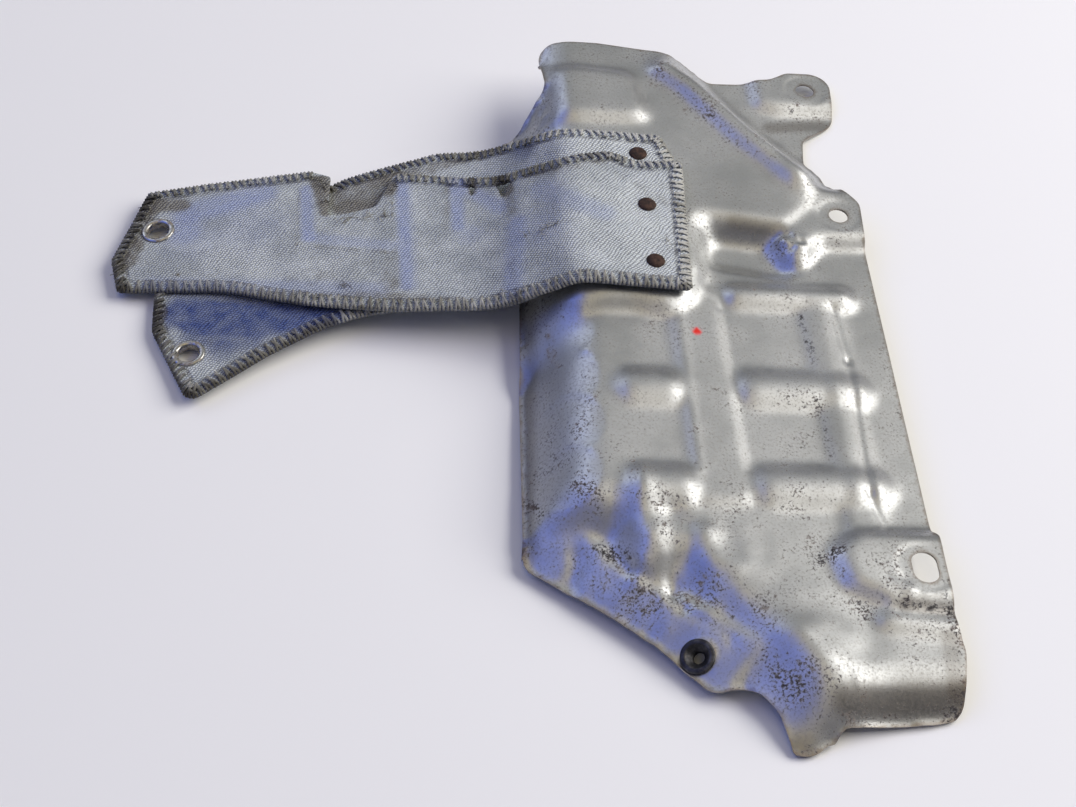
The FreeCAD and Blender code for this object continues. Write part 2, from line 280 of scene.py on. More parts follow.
def spotted(bm, layerName, marks, caster, turn=Matrix()):
    layer = bm.verts.layers.float.get(layerName) or bm.verts.layers.float.new(layerName)
    bm.verts.ensure_lookup_table()
    tree = treeOf([vert.co for vert in bm.verts])
    for *ends, radius, strength in marks:
        x1, y1, x2, y2 = (ends * 2)[:4]
        count = int(math.hypot(x2 - x1, y2 - y1) / marking["pixelStep"]) + 1
        nearest = {}
        for k in range(count + 1):
            hit = seenAt(caster, x1 + (x2 - x1) * k / count, y1 + (y2 - y1) * k / count)
            for place, index, far in tree.find_range(turn @ hit, radius * mm) if hit else []:
                nearest[index] = min(far, nearest.get(index, far))
        for index, far in nearest.items():
            vert = bm.verts[index]
            gain = strength * (1 - smoothStep(marking["core"], 1, far / (radius * mm)))
            vert[layer] = min(vert[layer] + gain, 1.0)


def finishPiece(bm, name, finish, nodes, sharp=40):
    mesh = meshOf(bm, name)
    mesh.shade_smooth()
    mesh.set_sharp_from_angle(angle=math.radians(sharp))
    mesh.materials.append(finish)
    piece = linked(name, mesh)
    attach(piece, "root")
    if nodes:
        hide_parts(*nodes)
    return piece


# a shader socket whose operators add Math nodes
class Wire:
    def __init__(self, finish, socket):
        self.finish, self.socket = finish, socket

    def join(self, operation, first, second):
        return self.finish.add("Math", {"operation": operation}, {0: first, 1: second})

    def __add__(self, other): return self.join("ADD", self, other)
    def __radd__(self, other): return self.join("ADD", other, self)
    def __sub__(self, other): return self.join("SUBTRACT", self, other)
    def __rsub__(self, other): return self.join("SUBTRACT", other, self)
    def __mul__(self, other): return self.join("MULTIPLY", self, other)
    def __rmul__(self, other): return self.join("MULTIPLY", other, self)
    def __truediv__(self, other): return self.join("DIVIDE", self, other)
    def __rtruediv__(self, other): return self.join("DIVIDE", other, self)


# a material, or the sky, and the nodes that feed it
class Finish:
    def __init__(self, name, sky=None):
        self.material = sky or bpy.data.materials.new(name)
        self.material.use_nodes = True
        self.tree = self.material.node_tree
        self.surface = self.tree.nodes["Background" if sky else "Principled BSDF"]

    def plug(self, socket, value):
        if isinstance(value, Wire):
            self.tree.links.new(value.socket, socket)
        else:
            socket.default_value = value

    def add(self, kind, settings={}, sockets={}, give=0):
        node = self.tree.nodes.new("ShaderNode" + kind)
        for key, value in settings.items():
            setattr(node, key, value)
        for key, value in sockets.items():
            self.plug(node.inputs[key], value)
        return Wire(self, node.outputs[give])

    def place(self):
        return self.add("TexCoord", give="Object")

    def mottle(self, scale, detail=3.0, rough=0.55, where=None):
        return self.add("TexNoise", {}, {"Vector": where or self.place(), "Scale": scale, "Detail": detail,
                                         "Roughness": rough})

    def band(self, value, low, high, start=0.0, end=1.0):
        return self.add("MapRange", {"interpolation_type": "SMOOTHSTEP"},
                        {"Value": value, "From Min": low, "From Max": high, "To Min": start, "To Max": end})

    def weave(self, value):  # triangle wave from 0 to 1
        return self.add("Math", {"operation": "PINGPONG"}, {0: value, 1: 0.5}) * 2.0

    def part(self, vector, axis):
        return self.add("SeparateXYZ", {}, {"Vector": vector}, give=axis)

    def dot(self, vector, way):
        return self.add("VectorMath", {"operation": "DOT_PRODUCT"}, {0: vector, 1: way}, give="Value")

    def mark(self, name):
        return self.add("Attribute", {"attribute_name": name}, give="Fac")

    def blend(self, share, a, b):
        a, b = [c if isinstance(c, Wire) else (*c, 1) for c in (a, b)]
        return self.add("Mix", {"data_type": "RGBA"}, {0: share, 6: a, 7: b}, give=2)

    def bump(self, height, strength, depth):
        return self.add("Bump", {}, {"Height": height, "Strength": strength, "Distance": depth})

    def set(self, sockets):
        for key, value in sockets.items():
            self.plug(self.surface.inputs[key], (*value, 1) if isinstance(value, tuple) else value)
        return self.material


# pressed panel: the tool's own shape with soft bends, dents, marks of use and painted shade
# places are in photograph pixels, sizes beside them in mm, and a mark ends with its strength
panelForm = {
    "gap": 1.15 * mm, "thick": 0.8 * mm, "rounds": 10, "edgeWear": 2.2,
    "facing": 0.2,  # least upward share of a face of the top skin
    "holeRim": {"length": 9, "roundness": 0.85},  # least of a real hole
    "tuck": {"reach": 2.6, "length": 50},  # rim that runs in under a wall
    "nut": {"wall": 4.75, "flat": 0.97, "hole": 4.8, "sides": 30, "calm": (6.5, 12)},
    "wave": 0.16 * mm, "waves": [(1.0, 0.034, 1.0), (0.5, 0.012, 4.0)],  # share, size and seed
    "boltSeat": {"deep": 0.22, "edge": 0.7}, "crumple": {"core": 0.3, "gain": 1.6},
    # place, radius and rounds of smoothing
    "eased": [(556, 340, 15, 70), (558, 385, 16, 70), (562, 430, 16, 70), (566, 475, 13, 50),
              (800, 690, 18, 20)],
    # place, radius and rise
    "dents": [(720, 300, 8, -0.4), (775, 160, 9, -0.4), (560, 470, 12, -0.5), (572, 570, 10, -0.6),
              (545, 545, 10, 0.4), (610, 590, 14, 0.5), (720, 640, 9, -0.5)],
    # place, radius, depth and size of the folds
    "crumples": [(790, 240, 9, 0.8, 5.5), (790, 243, 9, 0.6, 2.6), (905, 590, 12, 0.3, 5.0),
                 (640, 590, 34, 0.5, 14.0), (560, 560, 22, 0.5, 9.0), (610, 590, 40, 0.3, 6.0),
                 (720, 560, 26, 0.4, 9.0), (820, 640, 34, 0.4, 13.0), (560, 430, 40, 0.25, 20.0)],
    # two ends, width and rise
    "creases": [(611, 549, 631, 569, 2.2, -0.9), (631, 569, 671, 591, 2.2, -0.9),
                (671, 591, 685, 607, 2.2, -0.8), (685, 607, 728, 640, 2.2, -0.6),
                (619, 573, 663, 594, 3.0, 0.5), (574, 556, 574, 585, 2.5, -0.6),
                (639, 470, 639, 560, 4.0, 0.9), (673, 510, 676, 588, 4.0, -0.9),
                (706, 530, 712, 605, 4.0, 0.7), (806, 636, 838, 705, 11.0, 2.4),
                (612, 488, 612, 535, 2.6, -0.4), (689, 524, 690, 582, 2.6, -0.4),
                (668, 68, 806, 180, 8.0, 2.4), (832, 308, 848, 360, 1.6, -0.6),
                (848, 360, 871, 492, 1.6, -0.6), (871, 492, 886, 529, 1.6, -0.6),
                (820, 310, 858, 500, 3.0, 0.35), (680, 300, 700, 470, 2.0, 0.25),
                (722, 310, 750, 470, 2.0, -0.25)],
    # pressed rings of bolt heads: mount and radius
    "imprints": [("far_tab_hole", 8.6), ("middle_tab_hole", 8.2), ("near_tab_slot", 10.2)],
    "rust": [(878, 285, 928, 520, 5, 0.55), (880, 620, 14, 0.4), (900, 580, 10, 0.4), (800, 560, 20, 0.3),
             (652, 70, 770, 160, 9, 0.45), (790, 105, 9, 0.45), (700, 595, 14, 0.5), (620, 460, 12, 0.4),
             (548, 335, 556, 365, 5, 0.8), (720, 285, 8, 0.35), (790, 490, 16, 0.35), (800, 400, 14, 0.3),
             (640, 380, 14, 0.3), (955, 610, 962, 690, 6, 0.55), (640, 600, 14, 0.4),
             (575, 430, 585, 500, 10, 0.5), (522, 513, 530, 505, 1.4, 0.9), (530, 505, 542, 513, 1.4, 0.9),
             (640, 480, 720, 560, 14, 0.4), (770, 620, 840, 720, 15, 0.34), (800, 758, 8, 0.7),
             (850, 722, 940, 716, 5, 0.4)],
    # grime marks: dirt in folds and clumps, and also painted shade under the upper strap's lower edge, along
    # the step below the near tab and at the near wall's foot
    "grimeAndShade": [(790, 235, 784, 252, 5, 0.4), (905, 602, 955, 612, 3, 0.7), (940, 548, 955, 620, 4, 0.5),
              (602, 548, 626, 553, 5, 0.62), (580, 560, 16, 0.3), (640, 610, 16, 0.3), (955, 700, 8, 0.5),
              (800, 318, 814, 360, 3, 0.7), (818, 400, 830, 455, 3, 0.55), (838, 500, 845, 525, 3, 0.5),
              (816, 562, 844, 548, 5, 0.7), (862, 604, 870, 622, 4, 0.6), (740, 600, 14, 0.3),
              (545, 120, 10, 0.35), (790, 695, 12, 0.3), (530, 560, 12, 0.35), (700, 265, 6, 0.4),
              (530, 300, 560, 310, 7, 0.5), (845, 722, 950, 712, 5, 0.4), (740, 640, 790, 690, 6, 0.35),
              (555, 430, 590, 500, 9, 0.3)],
    # film marks: smooth brown tarnish that also paints shade on the near wall, the left wall, the toe, the
    # pocket and under steps and rolls
    "tarnishAndShade": [(850, 705, 955, 700, 9, 0.8), (526, 310, 524, 550, 8, 0.7), (800, 752, 9, 0.7),
             (905, 604, 955, 612, 4, 0.7), (735, 222, 780, 230, 5, 0.5), (770, 128, 822, 126, 5, 0.6),
             (950, 640, 958, 690, 5, 0.5), (545, 80, 520, 130, 6, 0.5)],
    "redDot": [(697, 331, 2.1, 3.0)],
}


def panelMetal():
    metal = Finish("pressedSheet")
    where = metal.place()
    cloud = metal.mottle(30.0, 5.0, 0.62, where)
    cluster = metal.mottle(60.0, 4.0, 0.65, where)
    fleck = metal.mottle(1100.0, 3.0, 0.65, where)
    crumb = metal.mottle(330.0, 5.0, 0.75, where)
    rust, grimeAndShade, tarnishAndShade, edge, red = [metal.mark(name) for name in ("rust", "grimeAndShade", "tarnishAndShade", "edge", "red")]
    crowd = (cluster - 0.5) * 0.5 + rust * 0.16 + grimeAndShade * 0.1
    pepper = metal.band(fleck + crowd, 0.645, 0.725)
    spot = metal.band(crumb + (fleck - 0.5) * 0.35 + crowd, 0.63, 0.75)
    stain = metal.band(rust + (crumb - 0.5) * 1.7 + (cluster - 0.5) * 0.8, 0.55, 1.0)
    stain = stain * metal.band(rust, 0.0, 0.3)
    # dirt, and painted shade where the grime marks lie in shadow
    dirtAndShade = metal.band(grimeAndShade + (crumb - 0.5) * 3.4 + (fleck - 0.5) * 0.8, 0.6, 1.1)
    dirtAndShade = dirtAndShade * metal.band(grimeAndShade, 0.02, 0.3)
    rim = metal.band(edge + (crumb - 0.5) * 1.6, 0.5, 1.0)
    tarnish = metal.band(fleck + (cluster - 0.5) * 0.3, 0.44, 0.68, 0.0, 0.55)
    base = metal.blend(metal.band(cloud, 0.3, 0.7), (0.5, 0.51, 0.51), (0.68, 0.69, 0.69))
    base = metal.blend(tarnish, base, (0.36, 0.35, 0.33))
    # painted shade with some tarnish: the film marks darken the base colour
    base = metal.blend(tarnishAndShade * (cluster * 0.5 + 0.55), base, (0.17, 0.145, 0.12))
    base = metal.blend(rim * 0.55, base, (0.26, 0.2, 0.15))
    base = metal.blend(stain * 0.6, base, (0.2, 0.145, 0.105))
    base = metal.blend(spot * 0.7, base, (0.13, 0.095, 0.07))
    base = metal.blend(pepper * 0.85, base, (0.06, 0.05, 0.045))
    base = metal.blend(dirtAndShade * 0.92, base, (0.03, 0.028, 0.028))
    base = metal.blend(red, base, (0.75, 0.03, 0.02))
    dull = metal.band(stain * 0.7 + dirtAndShade + pepper + spot * 0.8 + red, 0.0, 1.0)
    rough = metal.band(cloud, 0.25, 0.75, 0.35, 0.46) + metal.band(fleck, 0.4, 0.7) * 0.14 + dull * 0.3
    height = (fleck - 0.5) * 0.35 + (crumb - 0.5) * 0.5 - pepper * 0.5 + dirtAndShade * 0.6
    return metal.set({"Base Color": base, "Metallic": 0.95 - dull * 0.75, "Roughness": rough,
                      "Normal": metal.bump(height, 0.22, 0.0004)})


# lifts the sheet in the press's frame: waves, dents, bolt seats, crumpled places and creases
def panelRelief(form, sheet, toPress, pressed):
    dents = [(pressed(px, py), radius * mm, rise * mm) for px, py, radius, rise in form["dents"]]
    seats = [(toPress @ mounts[name][0], radius * mm) for name, radius in form["imprints"]]
    seatDeep, seatEdge = form["boltSeat"]["deep"] * mm, form["boltSeat"]["edge"] * mm
    crumples = [(pressed(px, py), radius * mm, depth * mm, size * mm)
                for px, py, radius, depth, size in form["crumples"]]
    creases = [(pressed(x1, y1), pressed(x2, y2), wide * mm, rise * mm)
               for x1, y1, x2, y2, wide, rise in form["creases"]]
    crumple = form["crumple"]
    nutAt = toPress @ mounts["captive_nut"][0]
    still, free = [far * mm for far in form["nut"]["calm"]]
    for vert in sheet.verts:
        lift = form["wave"] * sum(share * ripple(vert.co, size, seed) for share, size, seed in form["waves"])
        for place, radius, rise in dents:
            far = (vert.co - place).length / radius
            if far < 1:
                lift += rise * (1 - smoothStep(0, 1, far))
        for place, radius in seats:
            far = (vert.co - place).xy.length
            lift -= seatDeep * (1 - smoothStep(radius - seatEdge, radius + seatEdge, far))
        for place, radius, depth, size in crumples:
            far = (vert.co - place).length / radius
            if far < 1:
                grain = ripple(vert.co, size, 9.0) * crumple["gain"]
                lift += depth * (1 - smoothStep(crumple["core"], 1, far)) * grain
        for a, b, wide, rise in creases:
            lift += rise * math.exp(-(lineDistance(vert.co, a, b) / wide) ** 2)
        vert.co.z += lift * smoothStep(still, free, (vert.co - nutAt).xy.length)


def panelPiece(form):
    nut, (nutPlace, nutAxis) = form["nut"], mounts["captive_nut"]
    lean = mounts["far_tab_hole"][1]
    toPress = Matrix.Rotation(-math.atan2(lean.x, lean.z), 4, "Y")
    bm = mergedCopy("shield_panel")
    caster = BVHTree.FromBMesh(bm)

    def pressed(px, py):
        return toPress @ seenAt(caster, px, py)

    # rims of the top skin, without the wall of the nut's hole, which is cut anew round the nut's seat
    bmesh.ops.transform(bm, matrix=toPress, verts=bm.verts)
    bm.normal_update()
    drop = topOf(BVHTree.FromBMesh(bm))
    nutAt = toPress @ nutPlace
    skin = [f for f in bm.faces if f.normal.z > form["facing"] and
            ((f.calc_center_median() - nutAt).xy.length > nut["wall"] * mm or f.normal.z > nut["flat"])]
    loops = sorted(rimLoops(skin), key=loopLength)
    bm.free()
    holes = [loop for loop in loops[:-1] if loopLength(loop) > form["holeRim"]["length"] * mm
             and roundness(loop) > form["holeRim"]["roundness"]]
    print("panel rim and holes:", [round(loopLength(loop) / mm) for loop in loops[-1:] + holes])
    nutSeat = toPress @ (nutPlace + nutAxis * nutRise * mm)
    nutHole = []
    for k in range(nut["sides"]):
        turn = math.tau * k / nut["sides"]
        x, y = (nutSeat + Vector((math.cos(turn), math.sin(turn), 0)) * nut["hole"] * mm).xy
        nutHole.append(Vector((x, y, drop(x, y))))
    rim = straightOn(loops[-1], form["tuck"]["reach"] * mm, form["tuck"]["length"] * mm)
    sheet = evenSheet(rim, holes + [nutHole], form["gap"], drop)

    soften(sheet, sheet.verts, form["rounds"])
    for px, py, radius, rounds in form["eased"]:
        heart = pressed(px, py)
        near = [v for v in sheet.verts if (v.co - heart).length < radius * mm and not v.is_boundary]
        soften(sheet, near, rounds)
    edge = sheet.verts.layers.float.new("edge")
    for vert, far in zip(sheet.verts, rimDistance(sheet)):
        vert[edge] = math.exp(-far / (form["edgeWear"] * mm))
    # these layers hold rust, dirt, tarnish, painted shade and the red dot
    for layer, marks in (("rust", "rust"), ("grimeAndShade", "grimeAndShade"), ("tarnishAndShade", "tarnishAndShade"), ("red", "redDot")):
        spotted(sheet, layer, form[marks], caster, toPress)
    panelRelief(form, sheet, toPress, pressed)
    bmesh.ops.transform(sheet, matrix=toPress.inverted(), verts=sheet.verts)
    sheet.normal_update()
    bmesh.ops.solidify(sheet, geom=sheet.faces[:], thickness=form["thick"])
    for vert in sheet.verts:
        vert.co.z = max(vert.co.z, 0.0)
    piece = finishPiece(sheet, "shieldPanel", panelMetal(), ["shield_panel"])
    print("panel done:", len(piece.data.polygons))


panelPiece(panelForm)


# cloth straps: twill cut to shape, overlocked all round, riveted at the right and frayed by heat
# tears: place and half widths; frays: two ends, number of fibres and their length; bare: box with no stitches
upperStrap = {
    "node": "upper_strap", "name": "upperStrap", "eyelet": "upper_strap_eyelet",
    "rivets": ("strap_rivet_1", "strap_rivet_2"),
    "gap": 0.95 * mm, "thick": 1.45 * mm, "sag": 0.9,
    "flat": (0.086, 0.224), "area": 0.01345, "rests": ["lower_strap", "shield_panel"],
    # dye: dark and light tints of the painted blue light and shade
    "paintedBlueTints": ((0.17, 0.2, 0.32), (0.48, 0.55, 0.76)),
    "tears": [(503, 187, 2.3, 3.4), (472, 189, 1.0, 2.4)],
    "folds": [(170, 250, 290, 246, 3.0, 0.5), (300, 245, 380, 250, 2.5, 0.5),
              (560, 205, 630, 192, 4.0, 0.7), (560, 172, 640, 158, 3.0, 0.7),
              (520, 190, 515, 285, 5.0, 0.8), (200, 215, 280, 195, 4.0, 0.6),
              (600, 240, 645, 228, 3.0, 0.5), (480, 172, 500, 165, 3.0, 1.2),
              (510, 165, 545, 168, 3.0, 1.0)],
    "soil": [(128, 262, 150, 208, 7, 0.8), (150, 206, 182, 206, 6, 0.9), (157, 234, 10, 0.5),
             (118, 270, 122, 290, 5, 0.6), (120, 292, 520, 300, 3.5, 0.4), (300, 190, 296, 246, 1.8, 0.35),
             (296, 246, 396, 253, 1.6, 0.3), (316, 180, 326, 212, 4.5, 0.9), (326, 180, 332, 204, 4, 0.9),
             (334, 208, 388, 188, 6.5, 0.85), (388, 182, 390, 285, 5, 0.22), (447, 186, 445, 228, 2.6, 0.4),
             (496, 172, 506, 190, 5, 1.0), (472, 180, 472, 192, 3, 0.9), (508, 192, 512, 214, 4, 0.5),
             (520, 176, 600, 160, 5, 0.45), (590, 152, 8, 0.4), (640, 186, 662, 200, 5, 0.4),
             (634, 236, 4, 0.3), (300, 280, 400, 288, 9, 0.3), (320, 262, 400, 264, 9, 0.25),
             (480, 240, 14, 0.25), (500, 260, 10, 0.25), (420, 250, 10, 0.2), (512, 262, 516, 296, 3, 0.3),
             (178, 275, 1.6, 0.9)],
    # blue marks paint blue light on the strap's left part and blue shade under its lower edge
    "paintedBlueLightAndShade": [(188, 214, 262, 194, 9, 0.9), (184, 232, 10, 0.6), (150, 286, 380, 290, 6, 0.55),
             (306, 190, 308, 238, 4, 0.9), (312, 238, 390, 246, 4.5, 0.5), (401, 184, 406, 286, 3.6, 0.9),
             (405, 184, 412, 286, 4.0, 0.4), (456, 182, 458, 226, 4, 0.9), (458, 184, 500, 208, 5, 0.7),
             (517, 226, 513, 292, 6, 0.7), (540, 190, 604, 214, 7, 0.5), (470, 235, 8, 0.4),
             (190, 240, 16, 0.3), (250, 225, 20, 0.3), (540, 230, 14, 0.3)],
    "pale": [(600, 190, 24, 0.6), (640, 240, 22, 0.6), (660, 180, 18, 0.6), (600, 250, 24, 0.5),
             (560, 230, 20, 0.4), (240, 255, 22, 0.5), (250, 215, 16, 0.5), (420, 210, 12, 0.4),
             (430, 260, 14, 0.4), (675, 230, 12, 0.8), (680, 270, 10, 0.8), (350, 262, 16, 0.3)],
    "bare": (314, 160, 398, 224),
    "frays": [(684, 165, 688, 290, 34, 3.5), (322, 180, 330, 215, 22, 4.0), (335, 218, 392, 216, 34, 4.5),
              (394, 178, 392, 215, 14, 3.0), (480, 168, 520, 168, 26, 4.0), (494, 180, 508, 184, 12, 3.5),
              (466, 180, 478, 190, 10, 3.0), (500, 288, 524, 300, 10, 5.0), (140, 210, 152, 200, 10, 2.5),
              (113, 270, 119, 292, 8, 2.0)],
}
lowerStrap = {
    "node": "lower_strap", "name": "lowerStrap", "eyelet": "lower_strap_eyelet",
    "rivets": ("strap_rivet_1", "strap_rivet_2", "strap_rivet_3"),
    "gap": 0.95 * mm, "thick": 1.45 * mm, "sag": 0.6,
    "flat": (0.106, 0.216), "area": 0.0148, "rests": ["shield_panel"],
    # dye: dark and light tints of the painted deep blue shade
    "paintedBlueTints": ((0.012, 0.022, 0.09), (0.075, 0.12, 0.34)),
    "tears": [],
    "folds": [(560, 145, 620, 140, 4.0, 0.5), (180, 340, 240, 345, 5.0, 0.5)],
    "soil": [(340, 200, 392, 186, 12, 0.75), (345, 210, 380, 210, 6, 0.6), (390, 180, 500, 150, 5, 0.6),
             (530, 145, 8, 0.3), (158, 306, 156, 350, 5, 0.8), (160, 352, 186, 398, 4, 0.6),
             (192, 398, 330, 324, 5, 0.75), (186, 356, 9, 0.4)],
    # blue marks paint the deep blue shade that the upper strap casts on the lower strap's tail
    "paintedBlueLightAndShade": [(172, 318, 205, 322, 8, 0.9), (180, 308, 330, 316, 9, 1.0), (200, 322, 300, 326, 9, 0.9),
             (195, 336, 250, 340, 9, 0.6), (222, 352, 8, 0.4), (525, 150, 8, 0.5)],
    "pale": [(575, 140, 18, 0.6), (610, 138, 16, 0.7), (640, 150, 14, 0.7), (550, 150, 14, 0.5),
             (205, 370, 12, 0.4), (660, 160, 10, 0.6)],
    "bare": (0, 0, 0, 0),
    "frays": [(545, 128, 625, 127, 14, 2.0), (660, 140, 672, 158, 10, 3.0), (335, 186, 400, 168, 10, 2.0),
              (155, 330, 165, 375, 8, 2.0)],
}
# soil is dirt, pale is lighter cloth, and blue is painted blue light and shade
clothMarks = ("soil", "paintedBlueLightAndShade", "pale")
clothLay = {"facing": 0.35, "sewnStep": 1.2, "held": (4.5, 13), "underEase": 9,
            "rimDip": 0.35, "rimWide": 1.6, "swell": 0.35, "wave": 0.04, "fineWave": 0.015, "fineShare": 0.4}
tearRim = {"corners": 22, "lobes": 3, "lobe": 0.3, "rag": 0.15}
overlock = {"pitch": 1.5 * mm, "thread": 0.5, "rise": 0.3,
            "lean": (-0.2, 0.26), "sway": 0.16, "reach": (0.85, 1.12),
            "path": [(4.5, 0.55, -0.1), (2.4, 0.25, 0.2), (0.5, 0.0, 0.1), (-0.15, -0.1, -0.7),
                     (0.4, -0.2, -1.62), (2.7, -0.6, -1.66)]}
looseFibre = {"stations": (-0.1, 0.2, 0.45, 0.7, 1.0), "sides": 3, "length": (0.4, 1.0), "thin": (0.09, 0.17),
              "curl": 0.5}


def threadMesh(name, places, radius, sides=5):
    bm = bmesh.new()
    way = (places[1] - places[0]).normalized()
    start = Matrix.Translation(places[0]) @ way.to_track_quat("Z", "Y").to_matrix().to_4x4()
    ring = bmesh.ops.create_circle(bm, cap_ends=True, segments=sides, radius=radius, matrix=start)["verts"]
    edges = list({e for v in ring for e in v.link_edges})
    for k in range(1, len(places)):
        grown = bmesh.ops.extrude_edge_only(bm, edges=edges)["geom"]
        ring = [g for g in grown if isinstance(g, bmesh.types.BMVert)]
        edges = [g for g in grown if isinstance(g, bmesh.types.BMEdge) and all(v in ring for v in g.verts)]
        bmesh.ops.translate(bm, vec=places[k] - places[k - 1], verts=ring)
        if k + 1 < len(places):
            onward = (places[k + 1] - places[k]).normalized()
            bend = way.rotation_difference(onward)
            bmesh.ops.rotate(bm, cent=places[k], matrix=bend.to_matrix(), verts=ring)
            way = onward
    bmesh.ops.contextual_create(bm, geom=edges)
    bmesh.ops.recalc_face_normals(bm, faces=bm.faces)
    return meshOf(bm, name)


def twillCloth(name, paintedBlueTints):
    cloth = Finish(name)
    where = cloth.add("UVMap", {"uv_map": "weave"})
    across, along = [cloth.part(where, axis) / mm for axis in "XY"]
    wander = cloth.mottle(130.0, 3.0)
    cloud = cloth.mottle(60.0, 4.0, 0.6)
    fuzz = cloth.mottle(1100.0, 3.0, 0.7)
    patch = cloth.mottle(190.0, 4.0, 0.7)
    slant = (across - along * 0.8) / 1.45 + wander * 2.6
    rib = cloth.band(cloth.weave(slant), 0.0, 0.9)
    knot = cloth.band(cloth.weave((across * 0.5 + along * 1.2) / 1.25 + wander * 1.6), 0.0, 0.7)
    yarn = rib * (knot * 1.05 + 0.08) + (fuzz - 0.5) * 1.3 + 0.16
    soil, paintedBlueLightAndShade, pale, rim = [cloth.mark(mark) for mark in (*clothMarks, "rim")]
    share = cloth.band(yarn, 0.0, 0.95)
    light = cloth.blend(cloth.band(cloud + pale * 0.3, 0.35, 0.8), (0.5, 0.545, 0.575), (0.74, 0.79, 0.81))
    dark = cloth.blend(cloth.band(cloud, 0.35, 0.7), (0.17, 0.183, 0.2), (0.27, 0.287, 0.305))
    base = cloth.blend(share, dark, light)
    # painted blue light and shade, laid where the blue marks lie
    paintedBlueTone = cloth.blend(share, paintedBlueTints[0], paintedBlueTints[1])
    base = cloth.blend(paintedBlueLightAndShade * (patch * 0.9 + 0.4), base, paintedBlueTone)
    grey = cloth.blend(share, (0.045, 0.04, 0.035), (0.26, 0.245, 0.21))
    base = cloth.blend(cloth.band(soil + (patch - 0.5) * 1.1, 0.15, 1.0) * 0.9, base, grey)
    line = cloth.band(rim, 3.8, 4.6) * cloth.band(rim, 6.0, 5.2) * cloth.band(patch, 0.3, 0.7)
    base = cloth.blend(line * 0.75, base, (0.06, 0.055, 0.06))
    base = cloth.blend(cloth.band(rim, 1.4, 0.2) * 0.7, base, (0.035, 0.04, 0.08))
    return cloth.set({"Base Color": base, "Roughness": 0.92, "Specular IOR Level": 0.15, "Sheen Weight": 0.12,
                      "Normal": cloth.bump(yarn + (patch - 0.5) * 0.8 - line, 0.6, 0.0004)})


def sewingThread(name, paintedBlueTints):
    thread = Finish(name)
    cells = thread.add("TexVoronoi", {}, {"Vector": thread.place(), "Scale": 380.0}, give="Color")
    chance = thread.add("SeparateColor", {}, {"Color": cells})
    ply = thread.mottle(1500.0, 2.0)
    cloud = thread.mottle(45.0, 3.0)
    soil, paintedBlueLightAndShade, pale = [thread.mark(mark) for mark in clothMarks]
    white = thread.band(chance * 0.3 + cloud + pale * 0.5 - soil * 0.5 + (ply - 0.5) * 0.6, 0.35, 1.1)
    base = thread.blend(white, (0.16, 0.155, 0.135), (0.47, 0.47, 0.45))
    # painted blue light and shade on the threads
    base = thread.blend(paintedBlueLightAndShade * 0.5, base, paintedBlueTints[0])
    base = thread.blend(thread.band(soil + (chance - 0.5) * 0.5, 0.35, 1.0) * 0.8, base, (0.04, 0.035, 0.028))
    return thread.set({"Base Color": base, "Roughness": 0.85, "Specular IOR Level": 0.2,
                       "Normal": thread.bump(ply, 0.5, 0.0002)})


# gives the length along the bent cloth at x, so that the weave isn't stretched
def unrolling(faces):
    profile = sorted({(round(v.co.x, 5), round(v.co.z, 5)) for f in faces for v in f.verts})
    run = [0.0]
    for a, b in zip(profile, profile[1:]):
        run.append(run[-1] + math.hypot(b[0] - a[0], b[1] - a[1]))

    def unrolled(x):
        low, high = 0, len(profile) - 1
        while high - low > 1:
            mid = (low + high) // 2
            low, high = (mid, high) if profile[mid][0] <= x else (low, mid)
        share = (x - profile[low][0]) / max(profile[high][0] - profile[low][0], 1e-9)
        return run[low] + (run[high] - run[low]) * share
    return unrolled


def tornRim(heart, wide, tall, phase, drop):
    rim = []
    for k in range(tearRim["corners"]):
        turn = math.tau * k / tearRim["corners"]
        size = 1 + tearRim["lobe"] * math.sin(tearRim["lobes"] * turn + phase)
        size += dice.uniform(-tearRim["rag"], tearRim["rag"])
        spot = heart + Vector((math.cos(turn) * wide, math.sin(turn) * tall, 0)) * (size * mm)
        spot.z = drop(spot.x, spot.y)
        rim.append(spot)
    return rim


def isBare(form, place):
    left, top, right, bottom = form["bare"]
    px, py = toPixel(place)
    return left < px < right and top < py < bottom


